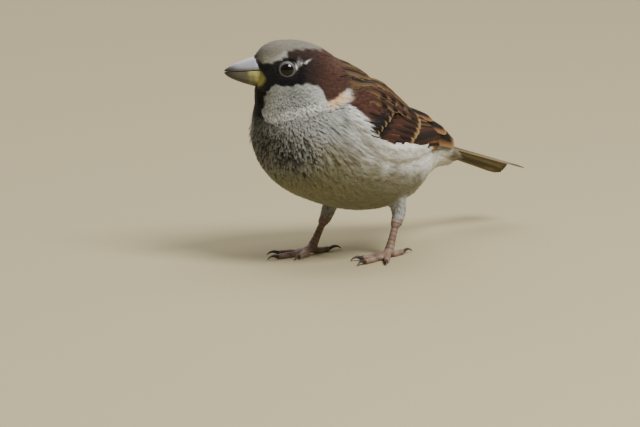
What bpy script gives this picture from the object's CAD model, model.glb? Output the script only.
"""A male house sparrow at life size, standing still with its head turned to its right.

One skin lies under a coat of contour feathers. The folded wings and the tail are built of
single quills. Eyes, bill and claws are pieces of their own. Lengths are in millimetres until
a mesh is made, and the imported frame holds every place.
"""

from __future__ import annotations

import logging
import math
from dataclasses import dataclass, field
from enum import Enum
from functools import cache
from typing import Iterable, Sequence

import bmesh
import bpy
import numpy as np
from mathutils import Matrix, Vector
from mathutils.bvhtree import BVHTree
from mathutils.kdtree import KDTree

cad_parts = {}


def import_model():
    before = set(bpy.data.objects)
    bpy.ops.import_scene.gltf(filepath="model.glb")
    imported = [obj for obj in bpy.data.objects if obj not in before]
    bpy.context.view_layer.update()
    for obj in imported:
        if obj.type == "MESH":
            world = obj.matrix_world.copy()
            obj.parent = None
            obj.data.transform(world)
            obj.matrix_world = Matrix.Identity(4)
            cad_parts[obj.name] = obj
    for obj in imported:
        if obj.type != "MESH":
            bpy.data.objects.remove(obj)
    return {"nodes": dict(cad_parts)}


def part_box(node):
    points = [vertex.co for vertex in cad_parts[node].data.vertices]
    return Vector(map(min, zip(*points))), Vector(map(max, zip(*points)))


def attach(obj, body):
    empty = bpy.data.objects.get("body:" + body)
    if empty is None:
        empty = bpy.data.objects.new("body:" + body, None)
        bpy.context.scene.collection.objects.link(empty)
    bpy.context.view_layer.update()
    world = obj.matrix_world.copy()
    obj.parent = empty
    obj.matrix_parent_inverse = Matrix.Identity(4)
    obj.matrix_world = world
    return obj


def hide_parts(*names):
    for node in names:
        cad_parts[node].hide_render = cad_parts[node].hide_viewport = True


LOG = logging.getLogger("sparrow")
MM = 0.001
MIRROR = {"left": 1.0, "right": -1.0}
SIDES = tuple(MIRROR)
TOES = (1, 2, 3, 4)
BAKE_MAP = "OFBake"
VANE_MAP = "Vane"
PLUMAGE = "Plumage"
SCUTES = "Scutes"
PATCH = 0.003

Array = np.ndarray
Rng = np.random.Generator
Object = bpy.types.Object
Mesh = bpy.types.Mesh
Material = bpy.types.Material
Socket = bpy.types.NodeSocket
Group = bpy.types.NodeTree
Pair = tuple[float, float]
Place = tuple[float, float, float]
Line = tuple[Pair, ...]

# The CAD nodes' objects by name, filled when the frame is loaded.
NODES: dict[str, Object] = {}


def unit(vectors: Array) -> Array:
    """Scales vectors to length one along their last axis."""
    return vectors / np.maximum(np.linalg.norm(vectors, axis=-1, keepdims=True), 1e-9)


def ease(low: float, high: float, value: Array) -> Array:
    """Rises smoothly from 0 at low to 1 at high, or falls where high is the smaller."""
    share = np.clip((value - low) / (high - low), 0.0, 1.0)
    return share * share * (3.0 - 2.0 * share)


def lay(under: Array, over: Array | Hue, cover: Array) -> Array:
    """Lays one colour over another by a cover of 0 to 1 for each point."""
    share = np.clip(cover, 0.0, 1.0)[..., None]
    return under * (1.0 - share) + (over.light if isinstance(over, Hue) else over) * share


def within(value: Array, *edges: Pair) -> Array:
    """Multiplies the rises or falls of one value over several (low, high) edges."""
    share = ease(*edges[0], value)
    for low, high in edges[1:]:
        share = share * ease(low, high, value)
    return share


def wobble(points: Array, size: float, seed: int = 0) -> Array:
    """Gives a smooth random value of about -1 to 1 in space.

    Args:
        points: Places in millimetres, (n, 3).
        size: Distance over which the value swings once.
        seed: Which of the random fields to use.

    Returns:
        One value for each point.
    """
    rng = np.random.default_rng(seed)
    total = np.zeros(points.shape[:-1])
    for _ in range(5):
        wave = unit(rng.normal(size=3)) * (2.0 * math.pi / size) * rng.uniform(0.6, 1.5)
        total += np.sin(points @ wave + rng.uniform(0.0, 2.0 * math.pi))
    return total / 2.6


def loop_height(loop: Sequence[Pair], along: Array) -> Array:
    """Reads the height of a line of (along, height) pairs at each place along it."""
    pairs = sorted(loop)
    return np.interp(along, [pair[0] for pair in pairs], [pair[1] for pair in pairs])


class Hue(Enum):
    """Colours of the bird, in display values of 0 to 255."""

    CROWN = (120, 116, 105)
    BROW = (170, 165, 150)
    BLACK = (9, 8, 7)
    MASK = (38, 27, 24)
    CHESTNUT = (64, 38, 28)
    NAPE = (78, 54, 40)
    CHEEK = (160, 161, 155)
    CHEEK_SHADE = (122, 124, 119)
    WHITE = (207, 206, 201)
    CREAM = (190, 161, 126)
    BREAST = (146, 147, 143)
    FLANK = (194, 194, 189)
    FLANK_SHADE = (131, 128, 112)
    BELLY = (130, 128, 105)
    VENT = (190, 188, 176)
    MANTLE = (82, 62, 39)
    BUFF = (142, 118, 80)
    RUMP = (98, 88, 66)
    STREAK = (16, 12, 10)
    QUILL = (26, 21, 17)
    RUFOUS = (103, 71, 43)
    COVERT = (52, 29, 20)
    TAIL = (78, 70, 55)
    TAIL_EDGE = (117, 106, 80)
    LID = (74, 74, 72)
    LEG = (135, 111, 96)
    LEG_SHADE = (62, 46, 38)
    BILL_TOP = (134, 133, 141)
    BILL_LOW = (78, 74, 64)
    BILL_BASE = (163, 162, 92)
    BILL_TIP = (34, 29, 26)
    CLAW = (48, 38, 33)
    IRIS = (13, 9, 7)
    FLOOR = (152, 142, 111)

    @property
    def light(self) -> Array:
        """The colour in linear light."""
        shown = np.array(self.value) / 255.0
        return np.where(shown <= 0.04045, shown / 12.92, ((shown + 0.055) / 1.055) ** 2.4)

    def over(self, points: Array) -> Array:
        """The linear colour once for each point."""
        return np.broadcast_to(self.light, points.shape)


@dataclass(frozen=True)
class Axes:
    """A part's own axes: to its left, then along it, then up."""

    origin: Place
    side: Place
    along: Place
    up: Place

    @property
    def rows(self) -> Array:
        """The three directions as rows."""
        return np.array([self.side, self.along, self.up])

    def local(self, points: Array) -> Array:
        """Turns places in the frame into places on these axes."""
        return (points - np.array(self.origin)) @ self.rows.T

    def place(self, points: Array) -> Array:
        """Turns places on these axes into places in the frame."""
        return points @ self.rows + np.array(self.origin)

    def aim(self, directions: Array) -> Array:
        """Turns directions on these axes into directions in the frame."""
        return directions @ self.rows


HEAD_TURN = math.radians(39)
EYE_TURN = math.radians(12)
TRUNK_SLOPE = math.radians(14)
TAIL_SLOPE = math.radians(17)
TAIL_ROLL = math.radians(6)
HEAD = Axes(
    (-2.0, -43.6, 68.0),
    (math.cos(HEAD_TURN), -math.sin(HEAD_TURN), 0.0),
    (-math.sin(HEAD_TURN), -math.cos(HEAD_TURN), 0.0),
    (0.0, 0.0, 1.0),
)
TRUNK = Axes(
    (0.0, -22.6, 38.0),
    (1.0, 0.0, 0.0),
    (0.0, math.cos(TRUNK_SLOPE), -math.sin(TRUNK_SLOPE)),
    (0.0, math.sin(TRUNK_SLOPE), math.cos(TRUNK_SLOPE)),
)
TAIL = Axes(
    (0.0, 19.4, 32.0),
    (math.cos(TAIL_ROLL), 0.0, math.sin(TAIL_ROLL)),
    (0.0, math.cos(TAIL_SLOPE), -math.sin(TAIL_SLOPE)),
    (-math.sin(TAIL_ROLL), math.sin(TAIL_SLOPE), math.cos(TAIL_SLOPE)),
)
FEET = {"left": (12.0, -12.6, 0.0), "right": (-12.0, -24.1, 0.0)}
ANKLES = {"left": (11.0, -4.1, 18.5), "right": (-11.0, -13.1, 17.5)}
THIGHS = {"left": (10.5, -8.1, 24.0), "right": (-10.5, -11.6, 24.0)}
TOE_SPREAD = {1: 186.0, 2: -21.0, 3: 8.0, 4: 39.0}
TOE_LENGTH = {1: 8.5, 2: 9.5, 3: 13.5, 4: 10.0}
BILL_ROOT = HEAD.place(np.array([0.0, 9.8, -3.6]))


def centre_of(node: str) -> Array:
    """Finds the middle of a node's box, in millimetres."""
    low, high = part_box(node)
    return (np.array(low) + np.array(high)) / 2.0 / MM


def to_segment(points: Array, start: Sequence[float], end: Sequence[float]) -> tuple[Array, Array]:
    """Measures points against a straight line.

    Args:
        points: Places in millimetres, (n, 3).
        start: Where the line starts.
        end: Where it ends.

    Returns:
        The distance from the line, and the share of the line's length at the nearest place.
    """
    first = np.array(start, dtype=float)
    span = np.array(end, dtype=float) - first
    share = np.clip(((points - first) @ span) / (span @ span), 0.0, 1.0)
    return np.linalg.norm(points - first - share[:, None] * span, axis=1), share


def gap_to(points: Array, place: Sequence[float]) -> Array:
    """Measures how far points are from a place."""
    return np.linalg.norm(points - place, axis=1)


def round_trunk(points: Array) -> tuple[Array, Array]:
    """Gives lengths along the trunk's axis and angles from its top in degrees, alike on both sides."""
    local = TRUNK.local(points)
    return local[:, 1], np.degrees(np.arctan2(np.abs(local[:, 0]), local[:, 2]))


def leg_gap(points: Array, side: str) -> Array:
    """Measures how far points are from the bones of one leg."""
    upper, _ = to_segment(points, THIGHS[side], ANKLES[side])
    lower, _ = to_segment(points, ANKLES[side], FEET[side])
    return np.minimum(upper, lower)


# ---- node trees


class Tree:
    """A small helper that adds and links the nodes of one tree."""

    def __init__(self, tree: Group) -> None:
        """Takes the tree to build in."""
        self.tree = tree

    def add(
        self, kind: str, inputs: dict[str | int, object] | None = None, **settings: object
    ) -> bpy.types.Node:
        """Adds a node.

        Args:
            kind: The node's type name.
            inputs: Values or output sockets for its inputs, by name or number.
            **settings: The node's own settings.

        Returns:
            The node.
        """
        node = self.tree.nodes.new(kind)
        for key, value in settings.items():
            setattr(node, key, value)
        for key, value in (inputs or {}).items():
            if isinstance(value, Socket):
                self.tree.links.new(value, node.inputs[key])
            else:
                node.inputs[key].default_value = value
        return node

    def math(self, operation: str, *values: object) -> Socket:
        """Adds a Math node and gives its output."""
        return self.add("ShaderNodeMath", dict(enumerate(values)), operation=operation).outputs[0]

    def multiply(self, below: Socket, above: Socket) -> Socket:
        """Multiplies two colours."""
        inputs = {0: 1.0, 6: below, 7: above}
        return self.add("ShaderNodeMix", inputs, data_type="RGBA", blend_type="MULTIPLY").outputs[2]


class EffectTree(Tree):
    """A shader node group with number inputs, which puts out a tone of about 1 and a height."""

    def __init__(self, name: str, **inputs: float) -> None:
        """Starts the group with its inputs' first values."""
        super().__init__(bpy.data.node_groups.new(name, "ShaderNodeTree"))
        for key, value in inputs.items():
            socket = self.tree.interface.new_socket(key, in_out="INPUT", socket_type="NodeSocketFloat")
            socket.default_value = value
        for key in ("Tone", "Height"):
            self.tree.interface.new_socket(key, in_out="OUTPUT", socket_type="NodeSocketFloat")
        self.given = self.add("NodeGroupInput").outputs

    def close(self, tone: object, height: object) -> Group:
        """Puts out the tone and the height."""
        self.add("NodeGroupOutput", {"Tone": tone, "Height": height})
        return self.tree


class Effects:
    """Shader effects that several finishes share, each built once."""

    def __init__(self) -> None:
        """Builds the groups."""
        self.mottle = self._mottle()
        self.barbs = self._barbs()
        self.scutes = self._scutes()

    @staticmethod
    def _mottle() -> Group:
        """Fine uneven tone in space."""
        tree = EffectTree("FineMottle", Scale=900.0, Depth=0.2)
        where = tree.add("ShaderNodeTexCoord").outputs["Object"]
        given = {"Vector": where, "Scale": tree.given["Scale"], "Detail": 3.0, "Roughness": 0.6}
        noise = tree.add("ShaderNodeTexNoise", given).outputs["Fac"]
        swing = tree.math("MULTIPLY", tree.math("SUBTRACT", noise, 0.5), tree.given["Depth"])
        return tree.close(tree.math("ADD", tree.math("MULTIPLY", swing, 2.0), 1.0), noise)

    @staticmethod
    def _barbs() -> Group:
        """Fine slanting lines on both webs of a feather, from its own map."""
        tree = EffectTree("BarbLines", Lines=60.0, Slant=0.4, Depth=0.15)
        place = tree.add("ShaderNodeUVMap", uv_map=VANE_MAP).outputs["UV"]
        parts = tree.add("ShaderNodeSeparateXYZ", {0: place})
        web = tree.math("ABSOLUTE", tree.math("SUBTRACT", parts.outputs[0], 0.5))
        slope = tree.math("SUBTRACT", parts.outputs[1], tree.math("MULTIPLY", web, tree.given["Slant"]))
        wave = tree.math("SINE", tree.math("MULTIPLY", slope, tree.given["Lines"]))
        height = tree.math("ADD", tree.math("MULTIPLY", wave, 0.5), 0.5)
        return tree.close(tree.math("ADD", tree.math("MULTIPLY", wave, tree.given["Depth"]), 1.0), height)

    @staticmethod
    def _scutes() -> Group:
        """Overlapping plates along a leg or toe, from the skin's own attribute."""
        tree = EffectTree("LegScutes", Depth=0.5)
        span = tree.add("ShaderNodeAttribute", attribute_name=SCUTES, attribute_type="GEOMETRY")
        parts = tree.add("ShaderNodeSeparateColor", {0: span.outputs["Color"]})
        plate = tree.math("POWER", tree.math("FRACT", parts.outputs[0]), 5.0)
        groove = tree.math("MULTIPLY", plate, parts.outputs[1])
        dark = tree.math("MULTIPLY", groove, tree.given["Depth"])
        return tree.close(tree.math("SUBTRACT", 1.0, dark), tree.math("SUBTRACT", 1.0, groove))


@dataclass(frozen=True)
class Finish:
    """A surface whose colour is painted on the mesh and worked over by fine detail.

    Attributes:
        name: The material's name.
        roughness: How matt it is.
        mottle: The depth of the fine uneven tone.
        mottle_scale: Its fineness, per metre.
        bump: How strongly the detail stands out.
        bump_depth: The depth of that detail in metres.
        lines: How many radians of barb lines there are along a feather, or 0.
        slant: How far the lines lean towards the tip.
        line_depth: How dark the lines are.
        plates: The darkness of the grooves between leg plates, or 0.
        sheen: The strength of the soft rim of light.
        coat: The strength of a wet or polished layer.
        specular: The strength of the plain reflection.
    """

    name: str
    roughness: float = 0.8
    mottle: float = 0.12
    mottle_scale: float = 1500.0
    bump: float = 0.3
    bump_depth: float = 0.0001
    lines: float = 0.0
    slant: float = 0.5
    line_depth: float = 0.1
    plates: float = 0.0
    sheen: float = 0.0
    coat: float = 0.0
    specular: float = 0.35

    def material(self, effects: Effects) -> Material:
        """Builds the material's nodes.

        Args:
            effects: The shared groups.

        Returns:
            The material.
        """
        made = bpy.data.materials.new(self.name)
        made.use_nodes = True
        made.node_tree.nodes.clear()
        tree = Tree(made.node_tree)
        paint = tree.add("ShaderNodeAttribute", attribute_name=PLUMAGE, attribute_type="GEOMETRY").outputs[0]
        given = {"Scale": self.mottle_scale, "Depth": self.mottle}
        tone, height = tree.add("ShaderNodeGroup", given, node_tree=effects.mottle).outputs
        if self.lines:
            given = {"Lines": self.lines, "Slant": self.slant, "Depth": self.line_depth}
            barbs = tree.add("ShaderNodeGroup", given, node_tree=effects.barbs).outputs
            tone = tree.math("MULTIPLY", tone, barbs["Tone"])
            height = tree.math("ADD", tree.math("MULTIPLY", height, 0.4), barbs["Height"])
        if self.plates:
            scutes = tree.add("ShaderNodeGroup", {"Depth": self.plates}, node_tree=effects.scutes).outputs
            tone = tree.math("MULTIPLY", tone, scutes["Tone"])
            height = tree.math("ADD", tree.math("MULTIPLY", height, 0.25), scutes["Height"])
        grey = tree.add("ShaderNodeCombineColor", {0: tone, 1: tone, 2: tone}).outputs[0]
        colour = tree.multiply(paint, grey)
        given = {"Height": height, "Strength": self.bump, "Distance": self.bump_depth}
        normal = tree.add("ShaderNodeBump", given).outputs["Normal"]
        shader = tree.add(
            "ShaderNodeBsdfPrincipled",
            {
                "Base Color": colour,
                "Normal": normal,
                "Roughness": self.roughness,
                "Sheen Weight": self.sheen,
                "Sheen Roughness": 0.5,
                "Coat Weight": self.coat,
                "Coat Roughness": 0.12,
                "Specular IOR Level": self.specular,
            },
        )
        tree.add("ShaderNodeOutputMaterial", {"Surface": shader.outputs[0]})
        return made


@cache
def shared_effects() -> Effects:
    """Builds the shared effects at their first use."""
    return Effects()


class Finishes(Enum):
    """The finishes of the bird's surfaces."""

    SKIN = Finish("skin", 0.55, 0.16, 2200, 0.55, 0.00022, plates=0.45)
    COAT = Finish("contour_plumage", 0.85, 0.16, 2600, 0.35, sheen=0.12, specular=0.2)
    QUILLS = Finish(
        "flight_plumage", 0.7, 0.16, 2200, 0.5, 0.00008, lines=190, slant=0.5, line_depth=0.2, specular=0.16,
    )
    BILL = Finish("bill_horn", 0.34, 0.12, 1300, 0.2, 0.00006, coat=0.25, specular=0.5)
    CLAWS = Finish("claw_horn", 0.4, 0.2, 2500, 0.3, 0.00005, specular=0.45)
    EYE = Finish("wet_eye", 0.1, 0.1, 3000, 0.0, coat=0.3, specular=0.25)

    @cache
    def material(self) -> Material:
        """Makes the finish's material at its first use."""
        return self.value.material(shared_effects())


# ---- meshes from arrays


@dataclass
class Gathered:
    """Many small shapes gathered as arrays, to become one mesh.

    Attributes:
        shapes: Each shape's corners in millimetres, its four-cornered and three-cornered faces, and
            for each corner the linear colour, the place across and along its feather from 0 to 1,
            and the place on the bake map.
        count: How many corners there are so far.
    """

    shapes: list[tuple[Array, ...]] = field(default_factory=list)
    count: int = 0

    def add(self, points: Array, quads: Array, tris: Array, colours: Array, vane: Array, bake: Array) -> None:
        """Adds a shape whose faces count from its own first corner."""
        self.shapes.append((points, quads + self.count, tris + self.count, colours, vane, bake))
        self.count += len(points)

    def piece(self, name: str, finish: Finishes) -> Object:
        """Makes the mesh and its object.

        Args:
            name: The piece's name.
            finish: What it is dressed in.

        Returns:
            The object, at the origin.
        """
        points, quads, tris, colours, vane, bake = (np.concatenate(parts) for parts in zip(*self.shapes))
        corners = np.concatenate([quads.ravel(), tris.ravel()]).astype(np.int32)
        starts = [np.arange(len(quads)) * 4, len(quads) * 4 + np.arange(len(tris)) * 3]
        mesh = bpy.data.meshes.new(name)
        mesh.vertices.add(len(points))
        mesh.vertices.foreach_set("co", (points * MM).astype(np.float32).ravel())
        mesh.loops.add(len(corners))
        mesh.loops.foreach_set("vertex_index", corners)
        mesh.polygons.add(len(quads) + len(tris))
        mesh.polygons.foreach_set("loop_start", np.concatenate(starts).astype(np.int32))
        mesh.update(calc_edges=True)
        for key, places in ((BAKE_MAP, bake), (VANE_MAP, vane)):
            layer = mesh.uv_layers.new(name=key)
            layer.data.foreach_set("uv", places[corners].astype(np.float32).ravel())
        return dress(mesh, colours, finish)


def closed(work: bmesh.types.BMesh, name: str) -> Mesh:
    """Turns a working mesh into a named one."""
    mesh = bpy.data.meshes.new(name)
    work.to_mesh(mesh)
    work.free()
    return mesh


def put_colours(mesh: Mesh, name: str, colours: Array) -> None:
    """Stores a linear colour for each corner point of a mesh."""
    layer = mesh.color_attributes.new(name=name, type="FLOAT_COLOR", domain="POINT")
    full = np.ones((len(mesh.vertices), 4), dtype=np.float32)
    full[:, :3] = colours
    layer.data.foreach_set("color", full.ravel())


def show(name: str, mesh: Mesh) -> Object:
    """Puts a mesh in the scene as an object at the origin."""
    made = bpy.data.objects.new(name, mesh)
    bpy.context.scene.collection.objects.link(made)
    return made


def read_all(items: bpy.types.bpy_prop_collection, key: str, width: int, kind: type = np.float32) -> Array:
    """Reads one property of all items of a mesh, as rows of the width given."""
    values = np.empty(len(items) * width, dtype=kind)
    items.foreach_get(key, values)
    return values.reshape(-1, width)


def dress(mesh: Mesh, colours: Array, finish: Finishes) -> Object:
    """Paints a mesh, gives it its one finish and shows it under its own name."""
    put_colours(mesh, PLUMAGE, colours)
    mesh.shade_smooth()
    mesh.materials.clear()
    mesh.materials.append(finish.material())
    return show(mesh.name, mesh)


def hand_in(piece: Object, slot: str, *nodes: str) -> Object:
    """Says which nodes a piece stands for, its colour slot and the body that it rides on."""
    if nodes:
        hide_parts(*nodes)
    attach(piece, "root")
    LOG.info("%s: %d triangles", piece.name, len(mesh_triangles(piece.data)))
    return piece


def mesh_points(mesh: Mesh) -> Array:
    """Reads a mesh's corner places in millimetres."""
    return read_all(mesh.vertices, "co", 3).astype(float) / MM


def move_points(mesh: Mesh, points: Array) -> None:
    """Writes a mesh's corner places from millimetres."""
    mesh.vertices.foreach_set("co", (points * MM).astype(np.float32).ravel())
    mesh.update()


def mesh_normals(mesh: Mesh) -> Array:
    """Reads a mesh's corner normals."""
    return read_all(mesh.vertex_normals, "vector", 3).astype(float)


def mesh_triangles(mesh: Mesh) -> Array:
    """Reads a mesh's triangles as corner numbers."""
    mesh.calc_loop_triangles()
    return read_all(mesh.loop_triangles, "vertices", 3, np.int32)


def rounded_union(name: str, nodes: Iterable[str], voxel: float, swell: float, rounds: int) -> Mesh:
    """Joins copies of CAD solids into one closed rounded mesh.

    Args:
        name: The new mesh's name.
        nodes: The solids to join.
        voxel: The size of the new faces in millimetres.
        swell: How far each copy grows first, to close the thin cuts.
        rounds: How many rounds of smoothing follow.

    Returns:
        The joined mesh.
    """
    work = bmesh.new()
    for node in nodes:
        work.from_mesh(NODES[node].data)
    bmesh.ops.remove_doubles(work, verts=work.verts, dist=1e-6)
    work.normal_update()
    for vert in work.verts:
        vert.co += vert.normal * (swell * MM)
    rough = closed(work, name + "_rough")
    holder = show(rough.name, rough)
    remesh = holder.modifiers.new("join", "REMESH")
    remesh.mode = "VOXEL"
    remesh.voxel_size = voxel * MM
    smooth = holder.modifiers.new("round", "SMOOTH")
    smooth.factor = 0.5
    smooth.iterations = rounds
    joined = bpy.data.meshes.new_from_object(holder.evaluated_get(bpy.context.evaluated_depsgraph_get()))
    joined.name = name
    bpy.data.objects.remove(holder)
    bpy.data.meshes.remove(rough)
    return joined


# ---- the bird's form


@dataclass
class Form:
    """The outer form of the bird, with the distance to it known in a band all round.

    Attributes:
        nodes: The solids that it joins.
        voxel: The size of its faces.
        cell: The spacing of the stored distances.
        reach: How many cells the band is wide on each side.
    """

    nodes: tuple[str, ...]
    voxel: float = 0.6
    cell: float = 0.8
    reach: int = 5

    def __post_init__(self) -> None:
        """Builds the joined mesh and the stored distances."""
        mesh = rounded_union("form", self.nodes, self.voxel, 0.28, 5)
        self.points = mesh_points(mesh)
        self.triangles = mesh_triangles(mesh)
        self.tree = BVHTree.FromPolygons(self.points.tolist(), self.triangles.tolist())
        bpy.data.meshes.remove(mesh)
        self._measure()

    def _measure(self) -> None:
        """Stores the signed distance and its slope on a grid near the surface."""
        margin = (self.reach + 2) * self.cell
        self.low = self.points.min(axis=0) - margin
        shape = np.ceil((self.points.max(axis=0) + margin - self.low) / self.cell).astype(int) + 1
        near = np.zeros(shape, dtype=bool)
        spots = np.round((self.points - self.low) / self.cell).astype(int)
        near[spots[:, 0], spots[:, 1], spots[:, 2]] = True
        for axis in range(3):
            grown = near.copy()
            for step in range(1, self.reach + 1):
                grown |= np.roll(near, step, axis) | np.roll(near, -step, axis)
            near = grown
        distance = np.full(shape, self.reach * self.cell, dtype=np.float32)
        cells = np.argwhere(near)
        find = self.tree.find_nearest
        found = np.empty(len(cells), dtype=np.float32)
        for number, place in enumerate((cells * self.cell + self.low).tolist()):
            spot, normal, _, gap = find(place)
            found[number] = math.copysign(gap, (Vector(place) - spot).dot(normal))
        distance[near] = found
        slopes = np.gradient(distance, self.cell)
        self.grid = np.stack([distance, *slopes], axis=-1).astype(np.float32)

    def sample(self, points: Array) -> tuple[Array, Array]:
        """Reads the distance and the outward direction at points.

        Args:
            points: Places in millimetres, (..., 3).

        Returns:
            The signed distances, and the unit directions.
        """
        flat = points.reshape(-1, 3)
        spot = (flat - self.low) / self.cell
        base = np.clip(np.floor(spot).astype(int), 0, np.array(self.grid.shape[:3]) - 2)
        part = np.clip(spot - base, 0.0, 1.0).astype(np.float32)
        total = np.zeros((len(flat), 4), dtype=np.float32)
        for corner in range(8):
            bits = np.array([corner & 1, corner >> 1 & 1, corner >> 2 & 1])
            weight = np.prod(np.where(bits, part, 1.0 - part), axis=1)
            spots = base + bits
            total += self.grid[spots[:, 0], spots[:, 1], spots[:, 2]] * weight[:, None]
        return total[:, 0].reshape(points.shape[:-1]), unit(total[:, 1:].astype(float)).reshape(points.shape)

    def settle(self, points: Array, level: Array | float = 0.0, rounds: int = 2) -> Array:
        """Moves points along the outward direction on to a level.

        Args:
            points: Places in millimetres, (..., 3).
            level: Height over the surface for each, negative inside.
            rounds: How many times to step.

        Returns:
            The moved places.
        """
        for _ in range(rounds):
            distance, outward = self.sample(points)
            points = points + outward * (level - distance)[..., None]
        return points


@dataclass
class Chart:
    """A map of the side of the trunk, by length along its axis and angle from the top.

    Attributes:
        nodes: The left side's solids whose outside it maps.
    """

    nodes: tuple[str, ...]
    first: float = -30.0
    last: float = 56.0
    turns: Pair = (-4.0, 124.0)

    def __post_init__(self) -> None:
        """Casts rays inwards from all round, and fills where nothing is met."""
        work = bmesh.new()
        for node in self.nodes:
            work.from_mesh(NODES[node].data)
        tree = BVHTree.FromBMesh(work)
        work.free()
        self.along = np.arange(self.first, self.last + 0.5, 1.0)
        self.angles = np.arange(self.turns[0], self.turns[1] + 1.0, 2.0)
        radius = np.full((len(self.along), len(self.angles)), np.nan)
        for row, along in enumerate(self.along):
            centre = TRUNK.place(np.array([0.0, along, 0.0]))
            for column, angle in enumerate(np.radians(self.angles)):
                ray = TRUNK.aim(np.array([math.sin(angle), 0.0, math.cos(angle)]))
                start = (centre + ray * 60.0) * MM
                spot = tree.ray_cast(Vector(start), Vector(-ray), 0.06)[0]
                if spot is not None:
                    radius[row, column] = np.linalg.norm(np.array(spot) / MM - centre)
        self.radius = self._filled(radius)

    def _filled(self, radius: Array) -> Array:
        """Carries the nearest met value into the gaps and smooths the whole."""
        columns = np.arange(len(self.angles))
        for row in radius:
            met = ~np.isnan(row)
            if met.any():
                row[:] = np.interp(columns, columns[met], row[met])
        rows = np.arange(len(self.along))
        met = ~np.isnan(radius[:, 0])
        for column in range(radius.shape[1]):
            radius[:, column] = np.interp(rows, rows[met], radius[met, column])
        for _ in range(2):
            wide = np.pad(radius, 1, mode="edge")
            beside = radius * 2.0 + wide[:-2, 1:-1] + wide[2:, 1:-1] + wide[1:-1, :-2] + wide[1:-1, 2:]
            radius = beside / 6.0
        return radius

    def reach(self, along: Array, angle: Array) -> Array:
        """Reads the radius at places on the map."""
        row = np.clip(along - self.along[0], 0.0, len(self.along) - 1.001)
        column = np.clip((angle - self.angles[0]) / 2.0, 0.0, len(self.angles) - 1.001)
        i, j = row.astype(int), column.astype(int)
        u, v = row - i, column - j
        table = self.radius
        return (
            table[i, j] * (1 - u) * (1 - v) + table[i + 1, j] * u * (1 - v)
            + table[i, j + 1] * (1 - u) * v + table[i + 1, j + 1] * u * v
        )

    def place(self, along: Array, angle: Array, level: Array | float) -> Array:
        """Turns places on the map into places in the frame, at a level over the outside."""
        turn = np.radians(angle)
        radius = self.reach(along, angle) + level
        return TRUNK.place(np.stack([np.sin(turn) * radius, along, np.cos(turn) * radius], axis=-1))


# ---- lie and markings


class Lie:
    """The lie of the coat: which way feathers point at any place.

    A guide is a place, the way that feathers point there, and how far it counts, in millimetres.
    """

    HEAD_GUIDES = (
        ((0, 12.0, 3.5), (0, -0.8, 0.6), 5), ((0, 5, 7), (0, -1, 0.1), 7),
        ((0, -5, 7), (0, -1, -0.25), 7), ((0, -12, 0), (0, -0.7, -0.7), 8),
        ((6, 10, 0), (0, -1, 0.15), 4), ((7, 9, -6), (0, -0.8, -0.6), 5),
        ((9, -3, 2), (0, -1, -0.1), 6), ((11, 2, -7), (0, -0.9, -0.4), 7),
        ((11, -8, -6), (0, -0.85, -0.5), 7), ((3, 11.5, -9), (0, -0.3, -0.95), 6),
        ((3, 10, -16), (0, -0.1, -1.0), 7), ((12, 1, -15), (0, -0.6, -0.8), 7),
        ((11, -10, -13), (0, -0.75, -0.65), 7),
    )
    # How far the guides on the legs count.
    LEG_REACH = 2.6
    TRUNK_GUIDES = (
        ((0, -54, 47), (0, 0.15, -1), 13), ((14, -48, 47), (0.1, 0.55, -0.83), 13),
        ((19, -40, 46), (0.1, 0.93, -0.33), 9), ((0, -50, 30), (0, 0.75, -0.66), 13),
        ((14, -44, 33), (0.05, 0.85, -0.5), 13), ((0, -28, 19), (0, 1, -0.05), 13),
        ((0, -2, 22), (0, 0.98, 0.18), 13), ((21, -25, 34), (0, 0.99, -0.02), 13),
        ((19, -5, 32), (-0.1, 0.97, -0.2), 13), ((12, 10, 28), (-0.1, 0.93, -0.34), 13),
        ((0, -28, 60), (0, 0.9, -0.42), 13), ((11, -24, 59), (0.22, 0.84, -0.5), 13),
        ((17, -16, 52), (0.15, 0.84, -0.52), 13), ((0, -8, 52), (0, 0.87, -0.48), 13),
        ((0, 12, 41), (0, 0.93, -0.36), 13), ((0, 30, 31), (0, 0.957, -0.29), 13),
        ((0, 24, 25), (0, 0.98, -0.1), 13),
    )

    def __init__(self) -> None:
        """Lays out the guides on both sides."""
        guides = []
        for mirror in MIRROR.values():
            flip = np.array([mirror, 1.0, 1.0])
            for place, way, reach in self.HEAD_GUIDES:
                guides.append((HEAD.place(place * flip), HEAD.aim(way * flip), reach))
            guides += [(place * flip, way * flip, reach) for place, way, reach in self.TRUNK_GUIDES]
        for side in SIDES:
            thigh, ankle, foot = (np.array(part[side]) for part in (THIGHS, ANKLES, FEET))
            for share, start, end in ((0.5, thigh, ankle), (0.1, ankle, foot), (0.4, ankle, foot)):
                guides.append((start + (end - start) * share, end - start, self.LEG_REACH))
        places, headings, self.reaches = (np.array(column, dtype=float) for column in zip(*guides))
        self.places, self.headings = places, unit(headings)
        self.eyes = np.array([centre_of(f"eye_{side}") for side in SIDES])

    def heading(self, points: Array, outward: Array) -> Array:
        """Gives the way that feathers point.

        Args:
            points: Places in millimetres, (n, 3).
            outward: The surface's outward directions there.

        Returns:
            Unit directions along the surface.
        """
        gaps = np.linalg.norm(points[:, None, :] - self.places, axis=2)
        weights = np.exp(-0.5 * (gaps / self.reaches) ** 2) / self.reaches + 1e-9
        way = (weights[:, :, None] * self.headings).sum(axis=1) / weights.sum(axis=1)[:, None]
        for eye in self.eyes:
            away = points - eye
            round_eye = ease(7.5, 4.2, np.linalg.norm(away, axis=1))
            away = unit(away - outward * (away * outward).sum(axis=1)[:, None])
            inward = np.minimum((way * away).sum(axis=1), 0.0) * round_eye
            way = way - away * inward[:, None] * 1.05
        way = way - outward * (way * outward).sum(axis=1)[:, None]
        return unit(way)


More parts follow.
